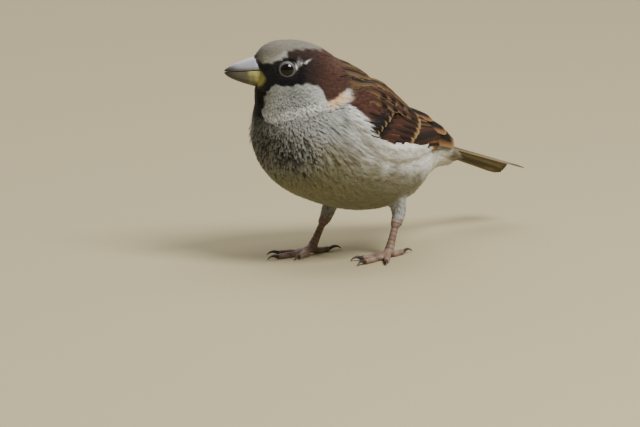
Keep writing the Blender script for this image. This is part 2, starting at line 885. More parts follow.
@dataclass(frozen=True)
class Patch:
    """A soft-edged patch of one colour on the trunk.

    Attributes:
        hue: Its colour.
        strength: What that colour's light is multiplied by.
        along: Where it fades in along the trunk, as (clear, covered) in millimetres.
        angle: Where it fades in round the trunk, as (clear, covered) in degrees from the top.
        cover: The share of the colour below that it hides.
    """

    hue: Hue
    strength: float
    along: Line
    angle: Line
    cover: float = 1.0

    def put(self, colour: Array, along: Array, angle: Array) -> Array:
        """Lays the patch over a colour."""
        share = within(along, *self.along) * within(angle, *self.angle) * self.cover
        return lay(colour, self.hue.light * self.strength, share)


@dataclass(frozen=True)
class Dab:
    """A small slanting mark on the side of the head.

    Attributes:
        middle: Its place, as (ahead, up).
        reach: How long and how thick it is.
        lean: How far it slants.
    """

    middle: Pair
    reach: Pair
    lean: float

    def share(self, ahead: Array, up: Array) -> Array:
        """Gives how far places lie in the mark, 0 to 1."""
        a, b = ahead - self.middle[0], up - self.middle[1]
        long, thick = a + self.lean * b, b - self.lean * 0.3 * a
        return np.exp(-((long / self.reach[0]) ** 2) - thick ** 2 / self.reach[1] ** 2)


class Markings:
    """The markings that skin and coat share, as soft shapes in the head's and trunk's own axes.

    Head lines are pairs of (ahead, up), trunk ramps run by the angle from the top. The bib is a
    chain of (x, z, radius) on the front of the bird.
    """

    CROWN_EDGE = (
        (-13, 4.2), (-9.2, 3.6), (-7.5, 3.9), (-4.2, 4.4), (-1.3, 4.6), (1.5, 4.3), (3.9, 3.6), (7.3, 2.2),
        (9.7, 1.1), (12, 0.2),
    )
    MASK_TOP = (
        (-4, -1), (-2.5, 0.3), (0.5, 1.7), (4.1, 2.3), (7.3, 0.8), (9.6, 0.1), (11, 0.3), (11.8, 1),
        (12.4, 3.4), (14, 4.2),
    )
    MASK_BASE = (
        (-4, -5.4), (-1.9, -6), (1.4, -6.7), (4.6, -6.9), (7.4, -6.2), (8.6, -7.3), (9.7, -8.6), (14, -8.8),
    )
    CHESTNUT_BASE = (
        (-19, -8.6), (-15.8, -9.2), (-13, -10.4), (-10.7, -11.8), (-8.7, -11.2), (-8.1, -9.6), (-7.8, -8.2),
        (-6.3, -6.8), (-1.9, -5.9), (3.2, -6),
    )
    BAND = ((-19, -10), (-14, -11.4), (-10, -12.8), (-6.5, -12.7), (0.3, -14.9), (7, -16.9), (12, -17.8))
    BILL_EDGE = (
        (-9.5, 14.4), (-8.4, 13.6), (-7.6, 11.4), (-5.8, 10.2), (-4.4, 10), (-2.9, 11), (-1.1, 12.5),
        (0.3, 13.6), (2.4, 14.3), (4, 14.6),
    )
    BIB = (
        (-9.8, 62, 7.2), (-10.9, 50, 5.3), (-7, 44, 6.6), (0, 40, 8), (6, 39.5, 6.8),
        (-8, 39.5, 7.4),
    )
    EYE_MARKS = (
        Dab((0.2, 0.0), (0.55, 1.35), 0.35), Dab((-1.1, 0.5), (0.35, 0.7), 0.3),
        Dab((-3.1, 1.1), (1.3, 0.27), -0.8),
    )
    GROUND = (
        (0, Hue.MANTLE), (52, Hue.MANTLE), (60, Hue.FLANK), (70, Hue.WHITE), (91, Hue.WHITE), (99, Hue.FLANK),
        (111, Hue.FLANK_SHADE), (130, Hue.BELLY), (180, Hue.BELLY),
    )
    CHEST = (
        (0, Hue.NAPE), (40, Hue.MANTLE), (52, Hue.BREAST), (84, Hue.BREAST), (102, Hue.FLANK_SHADE),
        (130, Hue.BELLY), (180, Hue.BELLY),
    )
    CHEST_END = ((60, -21.0), (80, -18.0), (96, -9.0))
    SHOULDER_EDGE = ((-24, 57), (-19, 58), (-12, 70), (0, 72))
    SIDES_OF_BREAST = (
        Patch(Hue.FLANK, 0.86, ((-5, -11),), ((54, 58), (104, 96))),
        Patch(Hue.WHITE, 0.85, ((-5, -9), (-22, -18)), ((54, 60), (78, 68)), 0.9),
    )
    VENT = Patch(Hue.VENT, 1.0, ((22, 34),), ((66, 84),), 0.9)

    @staticmethod
    def _ramp(stops: Sequence[tuple[float, Hue]], value: Array) -> Array:
        """Reads a colour ramp at each value."""
        heights = [stop[0] for stop in stops]
        colours = np.array([stop[1].light for stop in stops])
        return np.stack([np.interp(value, heights, colours[:, part]) for part in range(3)], axis=-1)

    @staticmethod
    def gape(points: Array) -> Array:
        """Colours the uneven yellow at the corner of the bill, which horn and skin share."""
        return lay(Hue.BILL_BASE.over(points), Hue.BILL_LOW, 0.3 + 0.25 * wobble(points, 2.6, 31))

    def _trunk(self, points: Array) -> Array:
        """Colours the trunk, breast and belly."""
        along, angle = round_trunk(points)
        angle = angle + 3.0 * wobble(points, 9.0, 3)
        colour = self._ramp(self.GROUND, angle)
        for patch in self.SIDES_OF_BREAST:
            colour = patch.put(colour, along, angle)
        chest = ease(0, -7, along - loop_height(self.CHEST_END, angle))
        colour = lay(colour, self._ramp(self.CHEST, angle), chest)
        above = ease(1, -1.5, angle - loop_height(self.SHOULDER_EDGE, along))
        shoulder = within(along, (-26, -23), (12, 6)) * ease(40, 46, angle) * above
        colour = lay(colour, Hue.COVERT.light * 1.5, shoulder)
        rump = ease(14, 24, along) * ease(70, 52, angle)
        round_tail = ease(45, 49, along) * ease(106, 92, angle)
        colour = lay(colour, Hue.RUMP, np.maximum(rump, round_tail))
        return self.VENT.put(colour, along, angle)

    def bib_depth(self, points: Array) -> Array:
        """Measures how far points are inside the bib, in millimetres."""
        flat = points[:, [0, 2]]
        best = np.full(len(points), -99.0)
        for (x0, z0, r0), (x1, z1, r1) in zip(self.BIB, self.BIB[1:]):
            gap, share = to_segment(flat, (x0, z0), (x1, z1))
            best = np.maximum(best, r0 + (r1 - r0) * share - gap)
        return np.where(points[:, 1] < -42.0, best, -99.0)

    def _cheek(self, side: Array, ahead: Array, up: Array, points: Array) -> Array:
        """Colours the cheek with the white and cream band under it."""
        shade = np.exp(-(((ahead - 1.0) / 5.0) ** 2) - ((up + 9.5) / 3.2) ** 2)
        colour = lay(Hue.CHEEK.over(points), Hue.CHEEK_SHADE, shade)
        over_band = up - loop_height(self.BAND, ahead)
        beside = np.maximum(ease(-9, -5, ahead), ease(7, 10, side))
        colour = lay(colour, Hue.WHITE, ease(1.9, 0.5, np.abs(over_band + 0.1)) * beside * 0.7)
        cream = ease(-8, -11, ahead) * ease(2.6, 1.3, np.abs(over_band - 0.5)) * beside
        return lay(colour, Hue.CREAM, cream)

    def _head(self, points: Array) -> Array:
        """Colours the head and the sides of the neck."""
        local = HEAD.local(points)
        side, ahead = np.abs(local[:, 0]), local[:, 1]
        up = local[:, 2] + 0.35 * wobble(points, 3.0, 5)
        colour = self._cheek(side, ahead, up, points)
        reddish = ease(-3, -11, ahead) * 0.8 + ease(1.5, 5, up) * 0.35
        russet = lay(Hue.MASK.over(points), Hue.CHESTNUT, reddish)
        russet = lay(russet, Hue.NAPE, ease(-9, -16, ahead) * ease(-6, 0, up))
        cover = ease(-0.5, 0.5, up - loop_height(self.CHESTNUT_BASE, ahead)) * ease(0.6, -0.6, ahead - 3.2)
        colour = lay(colour, russet, cover)
        crown = ease(-0.5, 0.7, up - loop_height(self.CROWN_EDGE, ahead)) * ease(-14, -9.5, ahead)
        grey = lay(Hue.CROWN.over(points), Hue.NAPE, ease(-7, -12, ahead) * 0.75)
        colour = lay(colour, grey, crown)
        mask = ease(-0.35, 0.35, loop_height(self.MASK_TOP, ahead) - up)
        mask = mask * ease(-0.35, 0.35, up - loop_height(self.MASK_BASE, ahead)) * ease(-3.6, -0.6, ahead)
        colour = lay(colour, Hue.BLACK, mask)
        brow = np.exp(-(((ahead - 9.6) / 2.5) ** 2) - ((up - 1.7) / 1.1) ** 2) * (side > 2.0)
        colour = lay(colour, Hue.BROW, brow * 0.9)
        for mark in self.EYE_MARKS:
            colour = lay(colour, Hue.WHITE, mark.share(ahead, up) * 0.9 * (side > 5.0))
        return colour

    def paint(self, points: Array, chance: Array | float = 0.5, reach: Array | float = 1.0) -> Array:
        """Colours any place on skin or coat.

        Args:
            points: Places in millimetres, (n, 3).
            chance: A random value of 0 to 1 that is the same over one feather.
            reach: How far along its feather each place is, 0 to 1.

        Returns:
            Linear colours.
        """
        local, height = HEAD.local(points), points[:, 2]
        ahead, up = local[:, 1], local[:, 2]
        on_head = ease(-2.4, -1.2, up - loop_height(self.BAND, ahead)) * ease(-19.5, -16.5, ahead)
        throat = ease(-38, -42, points[:, 1]) * ease(45, 48, height)
        trunk = lay(self._trunk(points), Hue.BREAST, throat)
        colour = lay(trunk, self._head(points), on_head)
        for side in SIDES:
            thigh = ease(5.5, 4, leg_gap(points, side)) * ease(24, 19, height)
            colour = lay(colour, Hue.BREAST.light * 1.3, thigh)
            colour = lay(colour, Hue.LEG_SHADE, thigh * (chance < 0.3) * 0.45)
        depth = self.bib_depth(points)
        fading = depth - 3.0 * ease(41, 47, height)
        low = ease(51, 46, height)
        dusky = ease(-5, 3, fading) * ease(52, 46, height) * 0.85
        colour = lay(colour, Hue.BREAST.light * 0.86, dusky)
        solid = ease(-0.6, 0.7, depth + 0.5 * wobble(points, 3.0, 8)) * ease(-5.2, -6.2, up)
        spotted = chance < 0.14 + 0.42 * ease(-4.5, 5, fading) * low
        speckle = spotted * (0.34 + 0.5 * ease(1.02, 0.72, reach)) * ease(-7, 1, fading)
        return lay(colour, Hue.BLACK, solid * (1.0 - low) + speckle * low)


# ---- skin


FLESH = tuple(
    ["head", "neck", "trunk"]
    + [f"{part}_{side}" for side in SIDES for part in ("wing", "tibia", "tarsus")]
    + [f"toe_{side}_{toe}" for side in SIDES for toe in TOES]
)


@dataclass
class Skin:
    """One skin over head, neck, trunk, arms and legs, inside the solids by the coat's depth.

    Attributes:
        voxel: The size of its faces.
        lid: How far the eyelid stands over the eyeball.
        aperture: Half angles of the eye's opening, along and up, in degrees.
        ring: How wide the bare lid ring is, in degrees.
    """

    markings: Markings
    voxel: float = 0.53
    lid: float = 0.2
    aperture: Pair = (42.0, 37.0)
    ring: float = 15.0

    EYE_RADIUS = 3.2
    # How near the opening's edge, in degrees, a corner is moved on to it.
    SNAP = 1.1
    # Depth of the coat by distance from the bill.
    DEPTHS = ((3, 0.2), (8, 0.45), (14, 0.8), (25, 1.5), (45, 2.1))

    @staticmethod
    def coat_depth(points: Array) -> Array:
        """Gives the depth of the coat at each place, in millimetres."""
        depth = loop_height(Skin.DEPTHS, gap_to(points, BILL_ROOT))
        for side in SIDES:
            leg = ease(5.5, 4.2, leg_gap(points, side)) * ease(27, 23, points[:, 2])
            depth = depth * (1.0 - leg) + leg * np.clip((points[:, 2] - 10.5) * 0.1, 0.0, 0.9)
        local = HEAD.local(points)
        past = local[:, 1] - loop_height(Markings.BILL_EDGE, local[:, 2])
        gape = ease(-0.2, 0.8, past) * ease(14.5, 13.5, local[:, 1])
        shank = 0.16 * ease(3, 6, points[:, 2])
        return np.where(points[:, 2] < 10.0, shank, depth + 0.3 * gape)

    @staticmethod
    def taper(points: Array) -> Array:
        """Gives how far skin and coat draw in behind the flanks, in millimetres."""
        along, angle = round_trunk(points)
        return (1.2 * ease(28, 35, along) + 1.3 * ease(38, 52, along)) * ease(62, 84, angle)

    def eye_axes(self, side: str) -> Axes:
        """Gives the axes of an eye: out of it, ahead along the head, and up."""
        mirror = MIRROR[side]
        out = unit(np.array([mirror * math.cos(EYE_TURN), math.sin(EYE_TURN), 0.05]))
        up = unit(np.array([0.0, 0.0, 1.0]) - out * out[2])
        ahead = np.cross(up, out) * mirror
        if ahead[1] < 0:
            ahead = -ahead
        centre = centre_of(f"eye_{side}")
        return Axes(tuple(centre), tuple(HEAD.aim(out)), tuple(HEAD.aim(ahead)), tuple(HEAD.aim(up)))

    def rim_angle(self, local: Array) -> tuple[Array, Array]:
        """Compares places round an eye with the edge of its opening.

        Args:
            local: Places on the eye's axes.

        Returns:
            The angle from the eye's axis, and the opening's edge angle that way, in degrees.
        """
        gap = np.maximum(np.linalg.norm(local, axis=1), 1e-6)
        angle = np.degrees(np.arccos(np.clip(local[:, 0] / gap, -1.0, 1.0)))
        way = np.arctan2(local[:, 2], local[:, 1])
        edge = 1.0 / np.sqrt((np.cos(way) / self.aperture[0]) ** 2 + (np.sin(way) / self.aperture[1]) ** 2)
        return angle, edge

    def _lids(self, points: Array) -> Array:
        """Shapes the lids round both eyes and sinks the opening inside the eyeball."""
        for side in SIDES:
            axes = self.eye_axes(side)
            local = axes.local(points)
            gap = np.linalg.norm(local, axis=1)
            angle, edge = self.rim_angle(local)
            close = (gap < 6.5) & (angle < 100.0) & (gap > 1.0)
            past = angle - edge
            snap = np.abs(past) < self.SNAP
            turned = np.where(snap, edge, angle)
            across = unit(np.stack([np.zeros(len(local)), local[:, 1], local[:, 2]], axis=1))
            turned = np.radians(turned)[:, None]
            rays = np.cos(turned) * np.array([1.0, 0.0, 0.0]) + across * np.sin(turned)
            rim = self.EYE_RADIUS + 0.02
            swell = np.sin(np.clip(past / self.ring, 0.0, 1.0) * math.pi / 2.0 + 0.35)
            lip = self.EYE_RADIUS + self.lid * swell
            radius = np.where(past < -self.SNAP, self.EYE_RADIUS - 0.7, np.where(snap, rim, lip))
            hold = ease(self.ring + 24.0, self.ring + 2.0, past)
            radius = radius * hold + gap * (1.0 - hold)
            moved = axes.place(rays * radius[:, None])
            points = np.where(close[:, None], moved, points)
        return points

    @staticmethod
    def _refine(mesh: Mesh) -> None:
        """Splits the faces round the eyes and on the feet into finer ones."""
        work = bmesh.new()
        work.from_mesh(mesh)
        eyes = [centre_of(f"eye_{side}") * MM for side in SIDES]
        for _ in range(2):
            near = [
                edge for edge in work.edges
                if any(math.dist(edge.verts[0].co, eye) < 4.4 * MM for eye in eyes)
            ]
            bmesh.ops.subdivide_edges(work, edges=near, cuts=1, use_grid_fill=True, smooth=1.0)
        low = [edge for edge in work.edges if edge.verts[0].co.z < 17.0 * MM]
        bmesh.ops.subdivide_edges(work, edges=low, cuts=1, use_grid_fill=True, smooth=1.0)
        bmesh.ops.triangulate(work, faces=[face for face in work.faces if len(face.verts) > 4])
        work.to_mesh(mesh)
        work.free()

    def _scutes(self, points: Array) -> Array:
        """Numbers the plates along legs and toes, with how deep their grooves are."""
        spans = np.zeros((len(points), 3))
        best = np.full(len(points), 99.0)
        lines = []
        for side in SIDES:
            foot = np.array(FEET[side])
            mirror = MIRROR[side]
            lines.append((np.array(ANKLES[side]), foot + (0, 0, 1.5), 1.45))
            for toe in TOES:
                spread = math.radians(TOE_SPREAD[toe])
                way = np.array([mirror * math.sin(spread), -math.cos(spread), 0.0])
                lines.append((foot + (0, 0, 1.2), foot + way * TOE_LENGTH[toe] + (0, 0, 0.9), 0.95))
        for start, end, period in lines:
            gap, share = to_segment(points, start, end)
            nearer = gap < best
            best = np.where(nearer, gap, best)
            spans[:, 0] = np.where(nearer, share * np.linalg.norm(end - start) / period, spans[:, 0])
        spans[:, 1] = ease(2.6, 2, best) * ease(16, 12, points[:, 2])
        return spans

    def _colours(self, points: Array) -> Array:
        """Paints the markings, the lids and the bare legs."""
        colour = self.markings.paint(points)
        for side in SIDES:
            local = self.eye_axes(side).local(points)
            angle, edge = self.rim_angle(local)
            near = np.linalg.norm(local, axis=1) < 4.6
            ring = ease(self.ring + 6.0, self.ring - 1.0, angle - edge) * near
            lit = 1.0 + 0.25 * ease(0.5, -2.5, local[:, 2])
            colour = lay(colour, Hue.LID.light * lit[:, None], ring)
        local = HEAD.local(points)
        past = local[:, 1] - loop_height(Markings.BILL_EDGE, local[:, 2])
        flesh = lay(Markings.gape(points), Hue.BILL_TOP, ease(-3.4, -2.2, local[:, 2]))
        flesh = lay(flesh, Hue.MASK, ease(0.8, 0, past) * 0.4)
        colour = lay(colour, flesh, ease(-0.4, 0.3, past))
        bare = ease(16, 12, points[:, 2])
        shade = 0.5 + 0.5 * wobble(points, 5.0, 21)
        leg = lay(Hue.LEG.over(points), Hue.LEG_SHADE, shade * 0.5)
        return lay(colour, leg, bare)

    def build(self) -> Object:
        """Builds, unwraps and dresses the skin, and gives its object."""
        eyes = tuple(f"eye_{side}" for side in SIDES)
        mesh = rounded_union("skin", FLESH + eyes, self.voxel, 0.24, 3)
        self._refine(mesh)
        points = mesh_points(mesh)
        points = points - mesh_normals(mesh) * (self.coat_depth(points) + self.taper(points))[:, None]
        points = self._lids(points)
        points[:, 2] = np.maximum(points[:, 2], 0.0)
        move_points(mesh, points)
        made = dress(mesh, self._colours(points), Finishes.SKIN)
        put_colours(mesh, SCUTES, self._scutes(points))
        self._unwrap(made)
        return hand_in(made, "leg_skin", *FLESH)

    @staticmethod
    def _unwrap(made: Object) -> None:
        """Unwraps the skin into its bake map."""
        made.data.uv_layers.new(name=BAKE_MAP)
        bpy.context.view_layer.objects.active = made
        made.select_set(True)
        bpy.ops.object.mode_set(mode="EDIT")
        bpy.ops.mesh.select_all(action="SELECT")
        bpy.ops.uv.smart_project(angle_limit=math.radians(70), island_margin=0.002)
        bpy.ops.object.mode_set(mode="OBJECT")
        made.select_set(False)


class BakePlaces:
    """Finds where a feather's root falls on the skin's unwrap."""

    def __init__(self, skin: Object) -> None:
        """Reads the skin's faces and where each lies on the map."""
        mesh = skin.data
        triangles = mesh_triangles(mesh)
        loops = read_all(mesh.loop_triangles, "loops", 3, np.int32)
        places = read_all(mesh.uv_layers[BAKE_MAP].data, "uv", 2)
        self.middles = places[loops].mean(axis=1)
        self.tree = BVHTree.FromPolygons(mesh_points(mesh).tolist(), triangles.tolist())

    def at(self, roots: Array) -> Array:
        """Gives the map place of each root."""
        faces = [self.tree.find_nearest(root)[2] for root in roots.tolist()]
        return self.middles[faces]


# ---- contour feathers


@dataclass(frozen=True)
class Plume:
    """One pattern of contour feather: a soft vane with loose barbs round it.

    Attributes:
        barbs: How many barbs stand on each side.
        aspect: The half width over the length.
        seed: What sets its small irregularities.
        loose: How unevenly the barbs reach along it.
    """

    barbs: int
    aspect: float
    seed: int
    loose: float = 0.09

    def shape(self) -> tuple[Array, Array, Array, Array, Array]:
        """Works out the feather's corners and faces.

        Returns:
            Corners as (along, across) with across in half widths, their height in barb
            layers, which barb each belongs to, the four-cornered faces, and the
            three-cornered ones.
        """
        rng = np.random.default_rng(self.seed)
        corners: list[Pair] = []
        heights: list[float] = []
        owners: list[int] = []
        quads: list[tuple[int, int, int, int]] = []
        tris: list[tuple[int, int, int]] = []
        stations = ((0.0, 0.3), (0.3, 0.62), (0.62, 0.5), (0.86, 0.16))
        for along, half in stations:
            corners += [(along, -half), (along, half)]
            heights += [-1.0, -1.0]
            owners += [0, 0]
        for row in range(len(stations) - 1):
            quads.append((2 * row, 2 * row + 1, 2 * row + 3, 2 * row + 2))
        reach = 0.64
        longest = self.loose * (5.0 * self.loose + 0.55)
        for side in (-1.0, 1.0):
            for number in range(self.barbs):
                share = number / (self.barbs - 1)
                root = np.array([0.22 + reach * share, 0.0])
                far = 0.55 + 0.45 * share ** 0.8 + rng.uniform(-self.loose, longest)
                wide = math.sqrt(1.0 - 0.96 * share * share) + rng.uniform(-0.16, 0.12)
                tip = np.array([far, side * wide])
                middle = root + (tip - root) * np.array([0.5, 0.66]) + rng.uniform(-0.02, 0.02, 2)
                way = (tip - root) * (1.0, self.aspect)
                normal = np.array([-way[1], way[0]]) / np.linalg.norm(way)
                half = 0.55 * reach / (self.barbs - 1) * abs(normal[0])
                across = normal * (half, half / self.aspect)
                lift = rng.uniform(-0.5, 1.0)
                first = len(corners)
                for spot, width, rise in ((root, 0.9, 0.0), (middle, 1.0, lift * 0.5)):
                    corners += [tuple(spot - across * width), tuple(spot + across * width)]
                    heights += [rise, rise]
                corners.append(tuple(tip))
                heights.append(lift)
                owners += [len(tris) + 1] * 5
                quads.append((first, first + 1, first + 3, first + 2))
                tris.append((first + 2, first + 3, first + 4))
        return np.array(corners), np.array(heights), np.array(owners), np.array(quads), np.array(tris)


@dataclass(frozen=True)
class Tract:
    """How one region's contour feathers look.

    Attributes:
        name: The region's name.
        barbs: How many barbs each feather has on a side.
        aspect: Its half width over its length.
        loft: How far the tips stand up, in millimetres.
        raise_by: How much higher the whole feather lies.
        streaked: The share of feathers with a dark line along the middle.
        contrast: How much the barbs differ in tone.
        sunk: The share of the coat's depth that the roots sink by.
        stretch: How much longer its feathers are than the place's usual.
        uneven: How much their lengths differ.
        loose: How unevenly their barbs reach.
    """

    name: str
    barbs: int
    aspect: float
    loft: float = 0.0
    raise_by: float = 0.0
    streaked: float = 0.0
    contrast: float = 0.08
    sunk: float = 1.0
    stretch: float = 1.0
    uneven: float = 0.17
    loose: float = 0.09


@dataclass
class Coat:
    """The coat of contour feathers over the head and body.

    Attributes:
        form: The bird's outer form.
        lie: The way that feathers point.
        markings: Their colours.
        places: Where their roots fall on the bake map.
        candidates: How many places are tried for a root.
        seed: What sets where they stand.
    """

    form: Form
    lie: Lie
    markings: Markings
    places: BakePlaces
    candidates: int = 240000
    seed: int = 7

    # How many patterns of feather a tract has, how far roots start below the skin, and the height
    # of one layer of barbs.
    PATTERNS = 7
    ROOT_DEPTH = 0.25
    LAYER = 0.06
    # The patch that the wing's quills cover: its front and back as (angle, along), its upper and
    # lower edge as (along, angle).
    WING_FRONT = (
        (40, -22), (50, -22), (56, -21.5), (58, -20), (63, -18.5), (69, -17.5), (75, -16.5), (83, -15.5),
        (90, -14.5),
    )
    WING_BACK = ((14, 58), (24, 54), (34, 50), (46, 46.5), (60, 41.5), (72, 36), (84, 29), (90, 20))
    WING_TOP = ((-22, 60), (-7, 58), (0, 48), (8, 42), (14, 28), (20, 17), (30, 11), (52, 8))
    WING_BASE = (
        (-22, 74), (-9, 84), (0, 83), (8, 82), (14, 82), (22, 85), (28, 84), (34, 74), (40, 62), (46, 46),
        (53, 24),
    )
    # Feather length by distance from the bill, and on the leg by height.
    LENGTHS = ((0, 1.1), (6, 1.6), (12, 2.2), (18, 3.1), (28, 5.0), (42, 7.2), (60, 8.2), (90, 9.0))
    LEG_LENGTHS = ((10, 1.6), (15, 2.6), (24, 4.5))

    def length(self, points: Array) -> Array:
        """Gives the feather length at each place."""
        length = loop_height(self.LENGTHS, gap_to(points, BILL_ROOT))
        for eye in self.lie.eyes:
            length = np.minimum(length, 1.1 + 0.5 * np.maximum(gap_to(points, eye) - 3.4, 0.0))
        for side in SIDES:
            leg = ease(6.5, 4.5, leg_gap(points, side)) * ease(26, 22, points[:, 2])
            length = length * (1.0 - leg) + leg * loop_height(self.LEG_LENGTHS, points[:, 2])
        return length

    def _covered(self, points: Array) -> Array:
        """Tells which places lie under the wing's own quills."""
        along, angle = round_trunk(points)
        behind = along > loop_height(self.WING_FRONT, angle)
        ahead = along < loop_height(self.WING_BACK, angle)
        below, above = angle > loop_height(self.WING_TOP, along), angle < loop_height(self.WING_BASE, along)
        return behind & ahead & below & above

    def _bare(self, points: Array) -> Array:
        """Tells which places carry no feathers: bill, lids, lower legs, tail."""
        bare = points[:, 2] < 11.0
        for eye in self.lie.eyes:
            bare |= gap_to(points, eye) < 3.9
        local = HEAD.local(points)
        bare |= local[:, 1] > loop_height(Markings.BILL_EDGE, local[:, 2])
        tail = TAIL.local(points)
        bare |= (tail[:, 1] > np.where(tail[:, 2] > -2.0, 1.5, 5.0)) & (np.abs(tail[:, 0]) < 8.0)
        return bare

    def roots(self) -> Array:
        """Spreads roots over the surface, further apart where feathers are longer."""
        rng = np.random.default_rng(self.seed)
        corners = self.form.points[self.form.triangles]
        middles = corners.mean(axis=1)
        spread = self.spacing(self.length(middles))
        area = np.linalg.norm(np.cross(corners[:, 1] - corners[:, 0], corners[:, 2] - corners[:, 0]), axis=1)
        keep = ~self._covered(middles) & ~self._bare(middles)
        weight = area / spread ** 2 * keep
        chosen = rng.choice(len(middles), self.candidates, p=weight / weight.sum())
        u, v = rng.random((2, self.candidates, 1))
        flip = u + v > 1.0
        u, v = np.where(flip, 1.0 - u, u), np.where(flip, 1.0 - v, v)
        a, b, c = (corners[chosen, corner] for corner in range(3))
        points = a + (b - a) * u + (c - a) * v
        points = points[~self._covered(points) & ~self._bare(points)]
        spread = self.spacing(self.length(points))
        finder = KDTree(len(points))
        for number, point in enumerate(points.tolist()):
            finder.insert(point, number)
        finder.balance()
        free = np.ones(len(points), dtype=bool)
        kept = []
        for number in range(len(points)):
            if not free[number]:
                continue
            kept.append(number)
            for _, other, _ in finder.find_range(points[number], spread[number]):
                free[other] = False
        return points[kept]

    @staticmethod
    def spacing(length: Array) -> Array:
        """Gives the distance between roots for a feather length."""
        return 0.1 * length + 0.1

    def spines(self, roots: Array, length: Array, rng: Rng, steps: int = 5) -> tuple[Array, Array]:
        """Walks each feather's shaft along the lie of the coat.

        Args:
            roots: Where the feathers start, on the outer form.
            length: How long each is.
            rng: Where the small irregularities come from.
            steps: How many steps each walk takes.

        Returns:
            The walked places, (n, steps + 1, 3), and the outward directions there.
        """
        place = roots
        _, outward = self.form.sample(place)
        way = self.lie.heading(place, outward)
        turn = rng.normal(0.0, 0.10, len(roots))[:, None]
        way = unit(way + np.cross(outward, way) * turn)
        places, outwards = [place], [outward]
        for _ in range(steps):
            place = self.form.settle(place + way * (length / steps)[:, None], 0.0, 1)
            _, outward = self.form.sample(place)
            fresh = self.lie.heading(place, outward)
            way = unit(way * 0.5 + unit(fresh + np.cross(outward, fresh) * turn) * 0.5)
            places.append(place)
            outwards.append(outward)
        return np.stack(places, axis=1), np.stack(outwards, axis=1)

    @staticmethod
    def _vanes(spines: Array, outwards: Array, corners: Array, size: Array, aspect: float) -> Array:
        """Lays one pattern's corners along many spines.

        Args:
            spines: The walked places of each feather.
            outwards: The outward directions there.
            corners: The pattern's corners as (along, across).
            size: Each feather's length, (n, 1).
            aspect: The half width over the length.

        Returns:
            The corners' places, before they settle on their level.
        """
        along, across = corners[:, 0], corners[:, 1]
        steps = spines.shape[1] - 1
        spot = np.clip(along, 0.0, 1.0) * steps
        index = np.minimum(spot.astype(int), steps - 1)
        part = (spot - index)[None, :, None]
        first, second = spines[:, index], spines[:, index + 1]
        beyond = np.maximum(along - 1.0, 0.0)[None, :, None]
        middle = first * (1.0 - part) + second * part + unit(second - first) * beyond * size[:, :, None]
        upward = unit(outwards[:, index] * (1.0 - part) + outwards[:, index + 1] * part)
        sideways = unit(np.cross(upward, second - first))
        return middle + sideways * across[None, :, None] * (size * aspect)[:, :, None]

    def grow(self, tract: Tract, name: str, roots: Array) -> None:
        """Grows one piece of the coat.

        Args:
            tract: How its feathers look.
            name: The piece's name.
            roots: Where its feathers stand.
        """
        rng = np.random.default_rng(hash_name(name))
        uneven = rng.uniform(1.0 - tract.uneven, 1.0 + tract.uneven, len(roots))
        length = self.length(roots) * uneven * tract.stretch
        depth = (Skin.coat_depth(roots) + self.ROOT_DEPTH) * tract.sunk
        spines, outwards = self.spines(roots, length, rng)
        maps = self.places.at(roots)
        which = rng.integers(0, self.PATTERNS, len(roots))
        gathered = Gathered()
        for number in range(self.PATTERNS):
            mine = np.flatnonzero(which == number)
            if not len(mine):
                continue
            plume = Plume(tract.barbs, tract.aspect, number, tract.loose)
            corners, layers, owners, quads, tris = plume.shape()
            along, across = corners[:, 0], corners[:, 1]
            size = length[mine][:, None]
            points = self._vanes(spines[mine], outwards[mine], corners, size, tract.aspect)
            own = rng.uniform(-0.16, 0.02, (len(mine), 1)) + tract.raise_by
            share = np.clip(along, 0.0, 1.0)
            rise = -depth[mine][:, None] * (1.0 - share) ** 1.3
            tips = tract.loft * rng.uniform(0.0, 1.0, (len(mine), 1)) * share ** 3
            level = rise + own + tips + self.LAYER * layers - 0.1 * across ** 2 * size * 0.12
            level = level - Skin.taper(points.reshape(-1, 3)).reshape(level.shape)
            flat = self.form.settle(points, level).reshape(-1, 3)
            chance = np.repeat(rng.random(len(mine)), len(corners))
            reach, beside = np.tile(along, len(mine)), np.tile(across, len(mine))
            colour = self.markings.paint(flat, chance, reach)
            tone = rng.normal(1.0, 0.05, (len(mine), 1))
            tone = tone * rng.normal(1.0, tract.contrast, (len(mine), 2 * tract.barbs + 1))[:, owners]
            colour = colour * (tone.ravel() * (0.84 + 0.16 * ease(0.2, 0.75, reach)))[:, None]
            line = ease(0.5, 0.2, np.abs(beside)) * ease(1, 0.85, reach) * (chance < tract.streaked)
            colour = lay(colour, Hue.STREAK, line * 0.85)
            vane = np.stack([beside / 2.0 + 0.5, reach], axis=1)
            bake = np.repeat(maps[mine], len(corners), axis=0) + (vane - 0.5) * PATCH
            shift = (np.arange(len(mine)) * len(corners))[:, None, None]
            quads, tris = (quads + shift).reshape(-1, 4), (tris + shift).reshape(-1, 3)
            gathered.add(flat, quads, tris, np.clip(colour, 0.0, 1.0), vane, bake)
        hand_in(gathered.piece(name, Finishes.COAT), "plumage")

